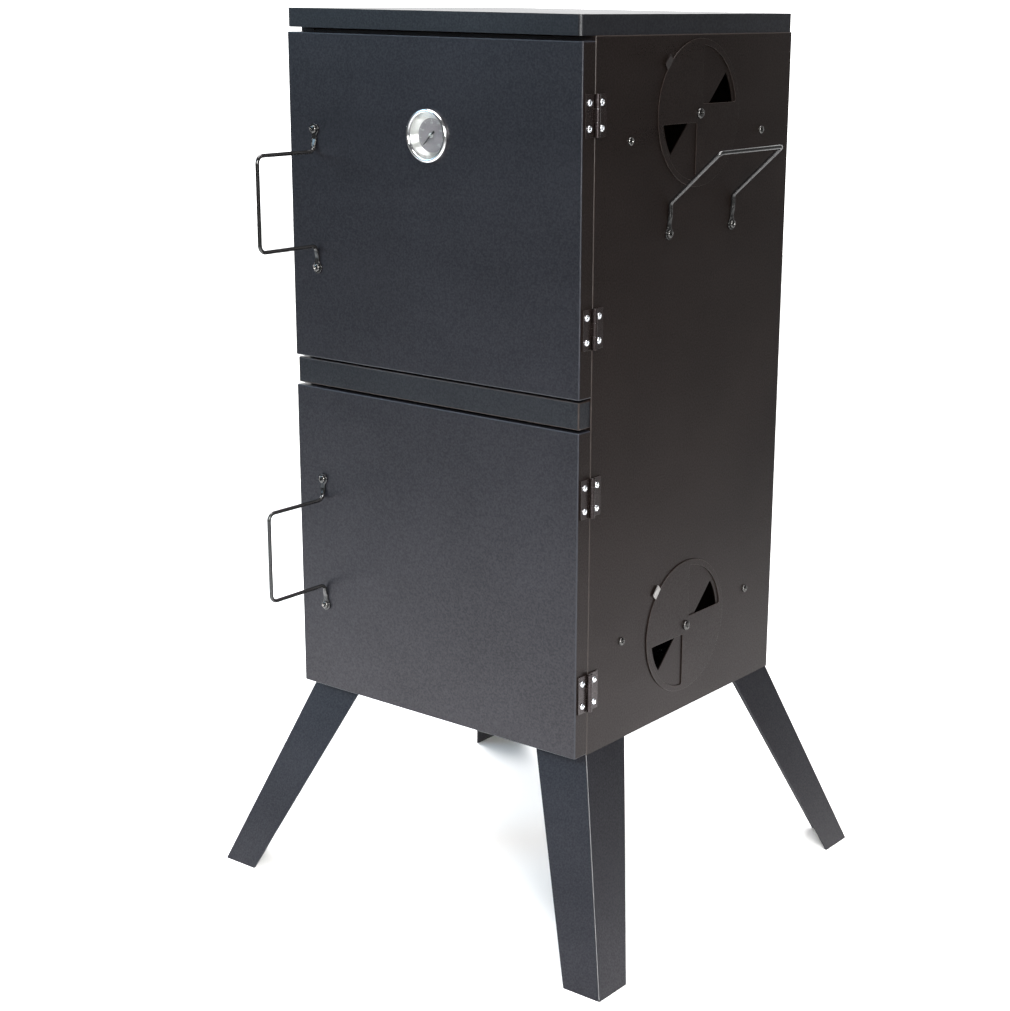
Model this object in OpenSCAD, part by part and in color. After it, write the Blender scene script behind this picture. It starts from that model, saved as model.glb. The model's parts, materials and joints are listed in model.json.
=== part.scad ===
// Two-door cabinet smoker on four splayed legs, with rotary air dampers,
// bow handles and a dial thermometer. Millimetres, +Z up, doors face -Y.
// The origin is on the floor, at the centre of the whole object's outline.

/* [Cabinet] */
// Outside width of the cabinet
body_w = 400; // [360:5:440]
// Depth of the side panels, front edge to back
body_d = 366; // [340:2:400]
// Height of the side panels
body_h = 749; // [735:1:770]
// Height of the folded cap on top
cap_h = 20; // [16:1:26]
// Thickness of the cabinet's sheet steel
sheet_t = 1.2; // [1.0:0.1:1.4]
// Width of the side panels' folded front edges
fold_w = 18; // [14:1:20]

/* [Doors] */
// Depth of a folded door pan
door_t = 20; // [16:1:24]
// Gap between the doors' backs and the cabinet's front
door_gap = 1; // [1:0.1:1.5]
// Lower edge of the lower door above the cabinet's bottom
lower_door_z = 1; // [0.5:0.5:3]
// Height of the lower door
lower_door_h = 356; // [350:1:357]
// Lower edge of the upper door above the cabinet's bottom
upper_door_z = 391; // [390.5:0.5:393]
// Height of the upper door
upper_door_h = 353; // [340:1:354]
// Height of the rail between the doors
rail_h = 29; // [24:1:31]

/* [Legs] */
// Height of the cabinet's bottom above the floor
leg_h = 231; // [200:1:260]
// How far each foot stands out sideways
leg_splay_x = 83; // [60:1:100]
// How far a front foot stands out forwards
leg_splay_front = 83; // [60:1:100]
// How far a rear foot stands out backwards
leg_splay_rear = 74; // [60:1:100]
// Width of a leg's flange at the top
leg_top_w = 70; // [60:1:80]
// Width of a leg's flange at the foot
leg_foot_w = 48; // [40:1:56]
// Thickness of the legs' sheet
leg_t = 2; // [1.6:0.1:2.4]

/* [Handles] */
// Diameter of the handle wire
wire_d = 4.5; // [4:0.1:5]
// How far a door handle's grip stands off its door
door_handle_reach = 87; // [70:1:95]
// Distance between a door handle's arms
door_handle_span = 102; // [90:1:110]
// Distance between a door handle's bolts
door_handle_bolts = 150; // [140:1:156]
// Distance of the door handles from the centre line
door_handle_x = 162; // [150:1:170]
// How far a carrying handle's bar stands off the side
carry_reach = 62; // [50:1:70]
// How far a carrying handle's arms rise
carry_rise = 55; // [45:1:65]
// Distance between a carrying handle's arms
carry_span = 121; // [110:1:130]

/* [Dampers] */
// Radius of a damper disc
damper_r = 76.5; // [74:0.5:77]
// Outer radius of the windows in a damper disc
damper_window_r = 70; // [66:0.5:71]
// Outer radius of the air holes in the side panel
air_hole_r = 65; // [60:0.5:66]
// Height of the upper damper's centre above the cabinet's bottom
upper_damper_z = 668; // [660:1:669]
// Height of the lower damper's centre above the cabinet's bottom
lower_damper_z = 100; // [90:1:110]

/* [Thermometer] */
// Height of the dial above the cabinet's bottom
dial_z = 644; // [630:1:660]
// Outer radius of the bezel
bezel_r = 27.8; // [26:0.2:29]
// Length of the stem inside the cabinet
stem_l = 62; // [40:1:80]

/* [Inside] */
// Heights of the three cooking grates
grate_levels = [400, 490, 580];
// Height of the water pan's rim
water_level = 270; // [260:1:285]
// Height of the wood chip tray's rim
chip_level = 178; // [174:1:185]
// Height of the heating element
element_z = 118; // [112:1:124]

/* [Hidden] */
$fn = 48;

black = "#26282a";
dark = "#1c1d1f";
zinc = "#b9bcc0";
steel = "#8f9296";

half_w = body_w / 2;
door_face = -(door_gap + door_t);
cap_front = door_face - 1.5;
cap_back = body_d + 2.5;
inner_x = half_w - sheet_t;
wire_r = wire_d / 2;
// Clearance between a sheet laid inside another
lap = 0.1;
// Radial clearance of a part that turns on a pin
running_gap = 0.05;

// The cabinet's own frame has its front edge at y = 0 and its bottom at z = 0
front_y = door_face - door_handle_reach - wire_r;
leg_inset = 0.6;
back_y = body_d + leg_splay_rear - leg_inset;
frame_y = -(front_y + back_y) / 2;

// Hinges: pin outside the side panel, screws either side of it
pin_x = half_w + 3.4;
pin_y = -door_gap / 2;
knuckle_r = 3;
pin_r = 1.5;
leaf_t = 1.5;
leaf_h = 42;
leaf_edge = 3.6;
door_screw_y = -11.5;
cabinet_screw_y = 8.6;
hinge_screw_pitch = 25;
hinge_inset = 71;
screw_r = 1.9;
screw_head_r = 3.4;
screw_head_h = 2.2;
upper_hinges = [upper_door_z + hinge_inset, upper_door_z + upper_door_h - hinge_inset];
lower_hinges = [lower_door_z + hinge_inset, lower_door_z + lower_door_h - hinge_inset];

upper_handle_z = 567.5;
lower_handle_z = 177;
damper_y = body_d / 2;
damper_t = 1.2;
damper_lift = 0.3;
damper_tab_angle = 138;
pivot_r = 3;

rack_bolt_ys = [60, 308];
rack_bolt_zs = [113, 645];
bolt_r = 2.5;
ladder_t = 2;
ladder_x = inner_x - ladder_t;
runner_w = 19;
runner_t = 1.5;
levels = [chip_level, water_level, grate_levels[0], grate_levels[1], grate_levels[2]];

carry_y0 = 131.5;
carry_bolt_z = 546;
carry_bend_z = 578;
strike_t = 0.8;
magnet_x = half_w - sheet_t - fold_w;
dial_depth = 6.5;

// ---- helpers -------------------------------------------------------------

module in_frame() {
  translate([0, frame_y, leg_h]) children();
}

module bar_x(x0, x1, r) {
  translate([x0, 0, 0]) rotate([0, 90, 0]) cylinder(r = r, h = x1 - x0);
}

module bar_y(y0, y1, r) {
  translate([0, y0, 0]) rotate([-90, 0, 0]) cylinder(r = r, h = y1 - y0);
}

module box(x0, x1, y0, y1, z0, z1) {
  translate([x0, y0, z0]) cube([x1 - x0, y1 - y0, z1 - z0]);
}

// A slab with round corners, centred in x and y, its underside at z = 0
module round_slab(w, d, h, r) {
  cube_w = w - 2 * r;
  cube_d = d - 2 * r;
  translate([-w / 2, -cube_d / 2, 0]) cube([w, cube_d, h]);
  translate([-cube_w / 2, -d / 2, 0]) cube([cube_w, d, h]);
  for (sx = [-1, 1], sy = [-1, 1])
    translate([sx * cube_w / 2, sy * cube_d / 2, 0]) cylinder(r = r, h = h);
}

// A folded pan open towards +Y, with a lip folded inwards round its open side
module door_pan(z0, h) {
  lip = 12;
  difference() {
    box(-half_w, half_w, door_face, -door_gap, z0, z0 + h);
    box(-half_w + sheet_t, half_w - sheet_t, door_face + sheet_t, -door_gap - sheet_t,
        z0 + sheet_t, z0 + h - sheet_t);
    box(-half_w + lip, half_w - lip, -door_gap - 2 * sheet_t, 0, z0 + lip, z0 + h - lip);
  }
}

// Every hinge screw's height on a door, from its list of hinge heights
function screw_zs(hinges) = [
  for (z = hinges, s = [-1, 1]) z + s * hinge_screw_pitch / 2
];

module screw_holes_x(y, zs, r, x0, x1) {
  for (z = zs) translate([0, y, z]) bar_x(x0, x1, r);
}

// Domed head, drawn along +X from x = 0
module dome_head_x(r, h) {
  rotate([0, 90, 0]) rotate_extrude() intersection() {
    translate([0, h - (r * r + h * h) / (2 * h)]) circle(r = (r * r + h * h) / (2 * h), $fn = 64);
    square([r, h]);
  }
}

module hex_nut_x(r, h) {
  rotate([0, 90, 0]) cylinder(r = r, h = h, $fn = 6);
}

// Bolt along X: head outside at +X, nut inside, around a grip of the given length
module through_bolt_x(grip, r, head_r, head_h, nut_h) {
  dome_head_x(head_r, head_h);
  bar_x(-grip - nut_h - 2, 0.01, r);
  translate([-grip - nut_h, 0, 0]) hex_nut_x(r * 1.9, nut_h);
}

// ---- cabinet -------------------------------------------------------------

module quarter_window(r, bar_h, bar_v) {
  intersection() {
    circle(r = r, $fn = 96);
    translate([bar_h, bar_v]) square(r + 1);
  }
}

// The two air holes of one damper, cut through the side panel
module air_holes(z) {
  hole_bar = 6.8;
  translate([0, damper_y, z]) rotate([90, 0, 90]) linear_extrude(height = half_w + 5)
    for (a = [-45, 135]) rotate(a) quarter_window(air_hole_r, hole_bar, hole_bar);
}

module side_sheet() {
  box(inner_x, half_w, 0, body_d, 0, body_h);
  box(inner_x - fold_w, half_w, 0, sheet_t, 0, body_h);
  box(inner_x - fold_w, half_w, 0, body_d - sheet_t - lap, body_h - sheet_t, body_h);
}

module side_cuts() {
  for (y = rack_bolt_ys, z = rack_bolt_zs) translate([0, y, z]) bar_x(inner_x - 1, half_w + 1, bolt_r);
  for (y = [carry_y0, carry_y0 + carry_span])
    translate([0, y, carry_bolt_z]) bar_x(inner_x - 1, half_w + 1, bolt_r);
}

module side_panel_right() {
  color(black) in_frame() difference() {
    side_sheet();
    side_cuts();
    screw_holes_x(cabinet_screw_y, concat(screw_zs(upper_hinges), screw_zs(lower_hinges)),
                  screw_r, inner_x - 1, half_w + 1);
    air_holes(upper_damper_z);
    air_holes(lower_damper_z);
    for (z = [upper_damper_z, lower_damper_z])
      translate([0, damper_y, z]) bar_x(inner_x - 1, half_w + 1, pivot_r);
  }
}

module side_panel_left() {
  color(black) in_frame() mirror([1, 0, 0]) difference() {
    side_sheet();
    side_cuts();
  }
}

module rear_panel() {
  fold = 15;
  x1 = inner_x - lap;
  top = body_h - sheet_t - lap;
  color(black) in_frame() difference() {
    union() {
      box(-x1, x1, body_d - sheet_t, body_d, 0, top);
      for (s = [0, 1]) mirror([s, 0, 0])
        box(x1 - sheet_t, x1, body_d - fold, body_d, 24, top);
    }
    for (x = [-24, 24]) translate([x, 0, element_z]) bar_y(body_d - 5, body_d + 1, 5);
  }
}

leg_bolt_spots = [[184, 48], [152, 18]];
floor_z = leg_t + 0.2;

// Leg bolt positions at all four corners, as [x, y]
leg_bolt_points = [
  for (sx = [-1, 1], p = leg_bolt_spots, back = [0, 1])
    [sx * (p[0] - 200 + half_w), back == 1 ? body_d - p[1] : p[1]]
];

module floor_panel() {
  upstand = 20;
  x1 = inner_x - lap;
  y0 = sheet_t + lap;
  y1 = body_d - sheet_t - lap;
  color(black) in_frame() difference() {
    box(-x1, x1, y0, y1, floor_z, floor_z + upstand);
    box(-x1 + sheet_t, x1 - sheet_t, y0 + sheet_t, y1 - sheet_t, floor_z + sheet_t, floor_z + upstand + 1);
    for (p = leg_bolt_points) translate([p[0], p[1], 0]) cylinder(r = bolt_r, h = 10);
  }
}

module front_header() {
  x1 = inner_x - lap;
  y0 = sheet_t + lap;
  top = body_h - sheet_t - lap;
  color(black) in_frame() {
    box(-x1, x1, y0, y0 + sheet_t, top - 24, top);
    box(-x1, x1, y0, y0 + 14, top - sheet_t, top);
  }
}

module mid_rail() {
  z0 = (lower_door_z + lower_door_h + upper_door_z) / 2 - rail_h / 2;
  recess = 2;
  x1 = half_w - 1.5;
  y0 = door_face + recess;
  color(black) in_frame() difference() {
    box(-x1, x1, y0, 0, z0, z0 + rail_h);
    box(-x1 + sheet_t, x1 - sheet_t, y0 + sheet_t, 1, z0 + sheet_t, z0 + rail_h - sheet_t);
  }
}

module top_cap() {
  corner = 5;
  w = body_w - 2;
  d = cap_back - cap_front;
  color(black) in_frame() translate([0, (cap_front + cap_back) / 2, body_h]) difference() {
    round_slab(w, d, cap_h, corner);
    translate([0, 0, -1]) round_slab(w - 2 * sheet_t, d - 2 * sheet_t, cap_h + 1 - sheet_t, corner - sheet_t);
  }
}

module cap_liner() {
  w = body_w - 2 - 2 * sheet_t - 2 * lap;
  d = cap_back - cap_front - 2 * sheet_t - 2 * lap;
  color(black) in_frame() translate([0, (cap_front + cap_back) / 2, body_h])
    round_slab(w, d, sheet_t, 3.5);
}

// ---- legs ----------------------------------------------------------------

// Outline of a leg at a fraction s of its height, 0 at the cabinet and 1 at the floor:
// an angle section with its ridge outwards, starting from the inner corner
function leg_section(splay_y, s) =
  let (x = half_w - leg_inset + leg_splay_x * s,
       y = leg_inset - splay_y * s,
       w = leg_top_w + (leg_foot_w - leg_top_w) * s,
       tx = leg_t / cos(atan(leg_splay_x / leg_h)),
       ty = leg_t / cos(atan(splay_y / leg_h)),
       outline = [[x - tx, y + ty], [x - w, y + ty], [x - w, y], [x, y], [x, y + w], [x - tx, y + w]])
  [for (p = outline) [p[0], p[1], -leg_h * s]];

// The leg at the front right corner, with its mounting plate under the floor panel
module leg(splay_y) {
  sides = [for (i = [0:5]) [i, (i + 1) % 6, (i + 1) % 6 + 6, i + 6]];
  difference() {
    union() {
      polyhedron(points = concat(leg_section(splay_y, 0), leg_section(splay_y, 1)),
                 faces = concat([[0, 5, 4, 3, 2, 1], [6, 7, 8, 9, 10, 11]], sides));
      translate([half_w - 200, 0, 0]) linear_extrude(height = leg_t)
        polygon([[198.6, 1.4], [198.6, 66], [186, 66], [134, 14], [134, 1.4]]);
    }
    for (p = leg_bolt_spots) translate([p[0] - 200 + half_w, p[1], -10]) cylinder(r = bolt_r, h = 20);
  }
}

module leg_front_right() {
  color(black) in_frame() leg(leg_splay_front);
}

module leg_front_left() {
  color(black) in_frame() mirror([1, 0, 0]) leg(leg_splay_front);
}

module leg_rear_right() {
  color(black) in_frame() translate([0, body_d, 0]) mirror([0, 1, 0]) leg(leg_splay_rear);
}

module leg_rear_left() {
  color(black) in_frame() translate([0, body_d, 0]) mirror([0, 1, 0]) mirror([1, 0, 0]) leg(leg_splay_rear);
}

module leg_bolts() {
  color(dark) in_frame() for (p = leg_bolt_points)
    translate([p[0], p[1], 0]) rotate([0, 90, 0]) through_bolt_x(floor_z + sheet_t, bolt_r, 4.5, 2.6, 3.5);
}

// ---- handles -------------------------------------------------------------

// Flattened end of the wire with an eye for its bolt; the wire comes from z = 0
module handle_tab(length, bend) {
  tab_t = 2.2;
  eye_r = 6.5;
  difference() {
    union() {
      rotate([90, 0, 0]) cylinder(r = eye_r, h = tab_t);
      translate([-wire_r - 0.6, -tab_t, -(length - bend)]) cube([2 * wire_r + 1.2, tab_t, length - bend]);
    }
    translate([0, 1, 0]) rotate([90, 0, 0]) cylinder(r = bolt_r, h = tab_t + 2);
  }
}

// Quarter bend of the wire in the YZ plane, from +Y side to +Z side of its centre
module wire_bend(r, a0) {
  rotate([90, 0, 90]) rotate([0, 0, a0]) rotate_extrude(angle = 90) translate([r, 0]) circle(r = wire_r);
}

// Bow for a door: grip along Z at y = -reach, arms back to the face at y = 0
module door_bow() {
  bend = 8;
  foot_bend = 7;
  half = door_handle_span / 2;
  reach = door_handle_reach;
  tab_l = door_handle_bolts / 2 - half;
  translate([0, -reach, -(half - bend)]) cylinder(r = wire_r, h = 2 * (half - bend));
  for (s = [0, 1]) mirror([0, 0, s]) {
    translate([0, -reach + bend, half - bend]) wire_bend(bend, 90);
    translate([0, 0, half]) bar_y(-reach + bend, -wire_r - foot_bend, wire_r);
    translate([0, -wire_r - foot_bend, half + foot_bend]) wire_bend(foot_bend, 270);
    translate([0, 0, half + tab_l]) handle_tab(tab_l, foot_bend);
  }
}

module bow_bolts(face_y, grip) {
  for (s = [-1, 1]) translate([0, face_y, s * door_handle_bolts / 2])
    rotate([0, 0, -90]) through_bolt_x(grip, bolt_r, 4.4, 2.8, 3.5);
}

module door_handle_at(z) {
  in_frame() translate([-door_handle_x, door_face, z]) door_bow();
}

module door_bolts_at(z) {
  in_frame() translate([-door_handle_x, door_face, z]) bow_bolts(-2.2, 2.2 + sheet_t);
}

// Carrying handle on the right side: arms slope out and up to a level bar
module carry_bow() {
  slope = atan(carry_rise / carry_reach);
  run = carry_reach / cos(slope);
  tab_t = 2.2;
  for (y = [carry_y0, carry_y0 + carry_span]) {
    translate([half_w + wire_r, y, carry_bend_z]) rotate([0, -slope, 0]) bar_x(0, run - wire_r, wire_r);
    translate([half_w + wire_r, y, carry_bend_z]) sphere(r = wire_r);
    translate([half_w + carry_reach, y, carry_bend_z + carry_rise]) sphere(r = wire_r);
    difference() {
      union() {
        translate([half_w, y, carry_bolt_z]) bar_x(0, tab_t, 6.5);
        box(half_w, half_w + tab_t, y - wire_r - 0.6, y + wire_r + 0.6, carry_bolt_z, carry_bend_z);
      }
      translate([half_w, y, carry_bolt_z]) bar_x(-1, tab_t + 1, bolt_r);
    }
  }
  translate([half_w + carry_reach, 0, carry_bend_z + carry_rise])
    bar_y(carry_y0, carry_y0 + carry_span, wire_r);
}

module carry_handle_right() {
  color(dark) in_frame() carry_bow();
}

module carry_handle_left() {
  color(dark) in_frame() mirror([1, 0, 0]) carry_bow();
}

module carry_handle_bolts() {
  color(zinc) in_frame() for (s = [0, 1], y = [carry_y0, carry_y0 + carry_span])
    mirror([s, 0, 0]) translate([half_w + 2.2, y, carry_bolt_z])
      through_bolt_x(2.2 + sheet_t, bolt_r, 4.4, 2.8, 3.5);
}

// ---- racks and pans ------------------------------------------------------

module rack_ladder() {
  strip_w = 20;
  foot_z = rack_bolt_zs[0] - 13;
  head_z = rack_bolt_zs[1] + 13;
  difference() {
    union() {
      for (y = rack_bolt_ys) box(ladder_x, inner_x, y - strip_w / 2, y + strip_w / 2, foot_z, head_z);
      for (z = levels) {
        box(ladder_x - runner_w, ladder_x, 20, 346, z - runner_t, z);
        box(ladder_x - runner_t, ladder_x, 20, 346, z - 12, z);
      }
    }
    for (y = rack_bolt_ys, z = rack_bolt_zs) translate([0, y, z]) bar_x(ladder_x - 1, inner_x + 1, bolt_r);
  }
}

module rack_ladder_right() {
  color(steel) in_frame() rack_ladder();
}

module rack_ladder_left() {
  color(steel) in_frame() mirror([1, 0, 0]) rack_ladder();
}

module rack_bolts() {
  color(dark) in_frame() for (s = [0, 1], y = rack_bolt_ys, z = rack_bolt_zs)
    mirror([s, 0, 0]) translate([half_w, y, z])
      through_bolt_x(sheet_t + ladder_t, bolt_r, 4.4, 2.8, 3.5);
}

// Welded wire grate lying on the runners at height z
module grate(z) {
  frame_r = 2.5;
  rod_r = 1.5;
  x1 = 187;
  y0 = 24;
  y1 = 342;
  rods = 15;
  in_frame() translate([0, 0, z + frame_r]) {
    for (y = [y0, y1]) translate([0, y, 0]) bar_x(-x1, x1, frame_r);
    for (x = [-x1, x1]) translate([x, 0, 0]) bar_y(y0, y1, frame_r);
    for (x = [-x1, x1], y = [y0, y1]) translate([x, y, 0]) sphere(r = frame_r);
    for (i = [1:rods]) translate([-x1 + i * 2 * x1 / (rods + 1), 0, 0]) bar_y(y0, y1, rod_r);
    translate([0, (y0 + y1) / 2, 0]) bar_x(-x1, x1, 2);
  }
}

module grate_lower() {
  color(zinc) grate(grate_levels[0]);
}

module grate_middle() {
  color(zinc) grate(grate_levels[1]);
}

module grate_upper() {
  color(zinc) grate(grate_levels[2]);
}

// Pan hung by its rim on the runners; its rim's top is at z + sheet thickness
module hung_pan(z, rim_w, rim_d, pan_w, pan_d, depth) {
  in_frame() translate([0, damper_y, z]) difference() {
    union() {
      round_slab(rim_w, rim_d, sheet_t, 8);
      translate([0, 0, -depth]) round_slab(pan_w, pan_d, depth + sheet_t / 2, 12);
    }
    translate([0, 0, sheet_t - depth])
      round_slab(pan_w - 2 * sheet_t, pan_d - 2 * sheet_t, depth + 5, 12 - sheet_t);
  }
}

module water_pan() {
  color(steel) hung_pan(water_level, 374, 290, 336, 262, 60);
}

module chip_tray() {
  color(steel) hung_pan(chip_level, 374, 190, 220, 160, 36);
}

module drip_tray() {
  color(steel) in_frame() translate([0, damper_y, floor_z + sheet_t]) difference() {
    round_slab(280, 300, 16, 12);
    translate([0, 0, sheet_t]) round_slab(280 - 2 * sheet_t, 300 - 2 * sheet_t, 20, 12 - sheet_t);
  }
}

// ---- heating -------------------------------------------------------------

// Looped rod element; both ends leave through the rear panel
module heating_element() {
  rod_r = 4;
  loop_r = 100;
  bend_r = 30;
  end_x = 24;
  side_l = 72;
  back = side_l + bend_r;
  across = loop_r - 2 * bend_r - end_x;
  color("#5a4a44") in_frame() translate([0, damper_y, element_z]) {
    rotate([0, 0, 180]) rotate_extrude(angle = 180, $fn = 96) translate([loop_r, 0]) circle(r = rod_r);
    for (s = [0, 1]) mirror([s, 0, 0]) {
      translate([loop_r, 0, 0]) bar_y(0, side_l, rod_r);
      translate([loop_r - bend_r, side_l, 0])
        rotate_extrude(angle = 90) translate([bend_r, 0]) circle(r = rod_r);
      translate([0, back, 0]) bar_x(loop_r - bend_r - across, loop_r - bend_r, rod_r);
      translate([end_x + bend_r, back + bend_r, 0]) rotate([0, 0, 180])
        rotate_extrude(angle = 90) translate([bend_r, 0]) circle(r = rod_r);
      translate([end_x, 0, 0]) bar_y(back + bend_r, body_d - damper_y + 12, rod_r);
    }
  }
}

module element_bracket() {
  strip_d = 20;
  y0 = rack_bolt_ys[0] + 6;
  top = element_z - 4;
  color(steel) in_frame() {
    box(-ladder_x, ladder_x, y0, y0 + strip_d, top - 2, top);
    for (s = [0, 1]) mirror([s, 0, 0]) box(ladder_x - 2, ladder_x, y0, y0 + strip_d, top - 2, top + 16);
  }
}

module terminal_box() {
  w = 110;
  h = 62;
  d = 38;
  wall = 1.5;
  z0 = element_z - h / 2;
  color(black) in_frame() difference() {
    union() {
      box(-w / 2, w / 2, body_d, body_d + d, z0, z0 + h);
      box(-w / 2 - 14, w / 2 + 14, body_d, body_d + wall, z0, z0 + h);
    }
    box(-w / 2 + wall, w / 2 - wall, body_d - 1, body_d + d - wall, z0 + wall, z0 + h - wall);
    translate([0, body_d + d / 2, z0 - 1]) cylinder(r = 6, h = 5);
  }
}

module cord_gland() {
  z0 = element_z - 31;
  color(dark) in_frame() translate([0, body_d + 19, z0]) difference() {
    union() {
      translate([0, 0, -5]) cylinder(r = 9, h = 5);
      translate([0, 0, -16]) cylinder(r = 8, h = 11, $fn = 6);
      translate([0, 0, -5]) cylinder(r = 6, h = 11);
      translate([0, 0, 1.5]) cylinder(r = 8.5, h = 3, $fn = 6);
    }
    translate([0, 0, -20]) cylinder(r = 3.8, h = 40);
  }
}

// ---- dampers -------------------------------------------------------------

// Damper disc lying on the right side panel, with two windows and a thumb tab
module damper_disc(z) {
  bar_v = 5;
  bar_h = 9.5;
  tab_w = 14;
  tab_l = 10;
  tab_lift = 9;
  in_frame() translate([half_w + damper_lift, damper_y, z]) difference() {
    union() {
      rotate([90, 0, 90]) linear_extrude(height = damper_t) difference() {
        circle(r = damper_r, $fn = 96);
        for (a = [0, 180]) rotate(a) quarter_window(damper_window_r, bar_v, bar_h);
      }
      rotate([damper_tab_angle - 90, 0, 0]) translate([0, -tab_w / 2, damper_r - 1.5])
        rotate([0, tab_lift, 0]) cube([damper_t, tab_w, tab_l]);
    }
    bar_x(-1, 5, pivot_r + running_gap);
  }
}

module upper_damper() {
  color(black) damper_disc(upper_damper_z);
}

module lower_damper() {
  color(black) damper_disc(lower_damper_z);
}

module damper_pivot_bolts() {
  grip = damper_lift + damper_t + 0.3;
  color(zinc) in_frame() for (z = [upper_damper_z, lower_damper_z])
    translate([half_w + grip, damper_y, z]) through_bolt_x(grip + sheet_t, pivot_r, 5.6, 3.2, 4.5);
}

// ---- hinges --------------------------------------------------------------

knuckle_gap = 0.3;
// Heights of the three knuckles of a hinge, from its lower end
knuckle_ends = [0, leaf_h / 3, 2 * leaf_h / 3, leaf_h];

module knuckle(z0, z1, side) {
  translate([pin_x, pin_y, z0]) difference() {
    union() {
      cylinder(r = knuckle_r, h = z1 - z0);
      translate([half_w - pin_x, side > 0 ? 0 : -leaf_edge - 1, 0]) cube([leaf_t, leaf_edge + 1, z1 - z0]);
    }
    translate([0, 0, -1]) cylinder(r = side > 0 ? pin_r : pin_r + running_gap, h = z1 - z0 + 2);
  }
}

// Leaf on the side panel, with the outer two knuckles
module cabinet_leaf(z) {
  translate([0, 0, z - leaf_h / 2]) difference() {
    union() {
      box(half_w, half_w + leaf_t, pin_y + leaf_edge, pin_y + 17, 0, leaf_h);
      knuckle(knuckle_ends[0], knuckle_ends[1], 1);
      knuckle(knuckle_ends[2], knuckle_ends[3], 1);
    }
    screw_holes_x(cabinet_screw_y, [for (s = [-1, 1]) leaf_h / 2 + s * hinge_screw_pitch / 2],
                  screw_r, half_w - 1, half_w + 3);
  }
}

// Leaf on a door's folded edge, with the middle knuckle
module door_leaf(z) {
  translate([0, 0, z - leaf_h / 2]) difference() {
    union() {
      box(half_w, half_w + leaf_t, pin_y - 17, pin_y - leaf_edge, 0, leaf_h);
      knuckle(knuckle_ends[1] + knuckle_gap, knuckle_ends[2] - knuckle_gap, -1);
    }
    screw_holes_x(door_screw_y, [for (s = [-1, 1]) leaf_h / 2 + s * hinge_screw_pitch / 2],
                  screw_r, half_w - 1, half_w + 3);
  }
}

module hinge_screws(y, zs) {
  for (z = zs) translate([half_w + leaf_t, y, z]) {
    dome_head_x(screw_head_r, screw_head_h);
    bar_x(-7, 0.01, screw_r);
  }
}

module cabinet_hinge_leaves() {
  color(dark) in_frame() for (z = concat(upper_hinges, lower_hinges)) cabinet_leaf(z);
}

module cabinet_hinge_screws() {
  color(zinc) in_frame() hinge_screws(cabinet_screw_y, concat(screw_zs(upper_hinges), screw_zs(lower_hinges)));
}

module hinge_pins() {
  color(zinc) in_frame() for (z = concat(upper_hinges, lower_hinges))
    translate([pin_x, pin_y, z - leaf_h / 2]) cylinder(r = pin_r, h = leaf_h);
}

module door_magnets() {
  color(dark) in_frame() for (z = [upper_handle_z, lower_handle_z])
    box(-magnet_x, -magnet_x + 20, 0, 14, z - 18, z + 18);
}

// ---- doors ---------------------------------------------------------------

module door_panel(z0, h, hinges, handle_z) {
  in_frame() difference() {
    door_pan(z0, h);
    screw_holes_x(door_screw_y, screw_zs(hinges), screw_r, half_w - 3, half_w + 1);
    for (s = [-1, 1]) translate([-door_handle_x, 0, handle_z + s * door_handle_bolts / 2])
      bar_y(door_face - 1, door_face + 3, bolt_r);
    if (z0 == upper_door_z) translate([0, 0, dial_z]) bar_y(door_face - 1, door_face + 3, 24.4);
  }
}

module strike(z) {
  in_frame() box(-half_w + 2, -half_w + 40, -door_gap, -door_gap + strike_t, z - 12, z + 12);
}

module upper_door_panel() {
  color(black) door_panel(upper_door_z, upper_door_h, upper_hinges, upper_handle_z);
}

module upper_door_handle() {
  color(dark) door_handle_at(upper_handle_z);
}

module upper_door_handle_bolts() {
  color(zinc) door_bolts_at(upper_handle_z);
}

module upper_door_hinge_leaves() {
  color(dark) in_frame() for (z = upper_hinges) door_leaf(z);
}

module upper_door_hinge_screws() {
  color(zinc) in_frame() hinge_screws(door_screw_y, screw_zs(upper_hinges));
}

module upper_door_strike() {
  color(steel) strike(upper_handle_z);
}

module lower_door_panel() {
  color(black) door_panel(lower_door_z, lower_door_h, lower_hinges, lower_handle_z);
}

module lower_door_handle() {
  color(dark) door_handle_at(lower_handle_z);
}

module lower_door_handle_bolts() {
  color(zinc) door_bolts_at(lower_handle_z);
}

module lower_door_hinge_leaves() {
  color(dark) in_frame() for (z = lower_hinges) door_leaf(z);
}

module lower_door_hinge_screws() {
  color(zinc) in_frame() hinge_screws(door_screw_y, screw_zs(lower_hinges));
}

module lower_door_strike() {
  color(steel) strike(lower_handle_z);
}

// ---- thermometer ---------------------------------------------------------

// Puts a shape turned about Z on the dial's axis; its z = 0 is the door's face
// and its +z points into the cabinet
module on_dial() {
  in_frame() translate([0, door_face, dial_z]) rotate([-90, 0, 0]) children();
}

cup_r = 24.2;
cup_wall = 0.8;
cup_depth = 9;
spindle_r = 1;
face_r = 17;

// The cup's rolled rim, its wall and floor, and the cone between glass and face
module thermometer_bezel() {
  rim = 4;
  inner_r = cup_r - cup_wall;
  color("#d7d9db") on_dial() rotate_extrude($fn = 96) difference() {
    union() {
      translate([inner_r, -rim]) square([bezel_r - inner_r - 2, rim]);
      translate([bezel_r - 2, -2]) circle(r = 2);
      polygon([[inner_r, -rim], [cup_r, -rim], [cup_r, cup_depth], [inner_r, cup_depth],
               [inner_r, dial_depth - 0.1], [face_r, dial_depth - 0.1], [inner_r, -0.7]]);
      translate([0, cup_depth - cup_wall]) square([cup_r, cup_wall]);
    }
    translate([0, -rim - 1]) square([3.2, 20]);
  }
}

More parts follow.
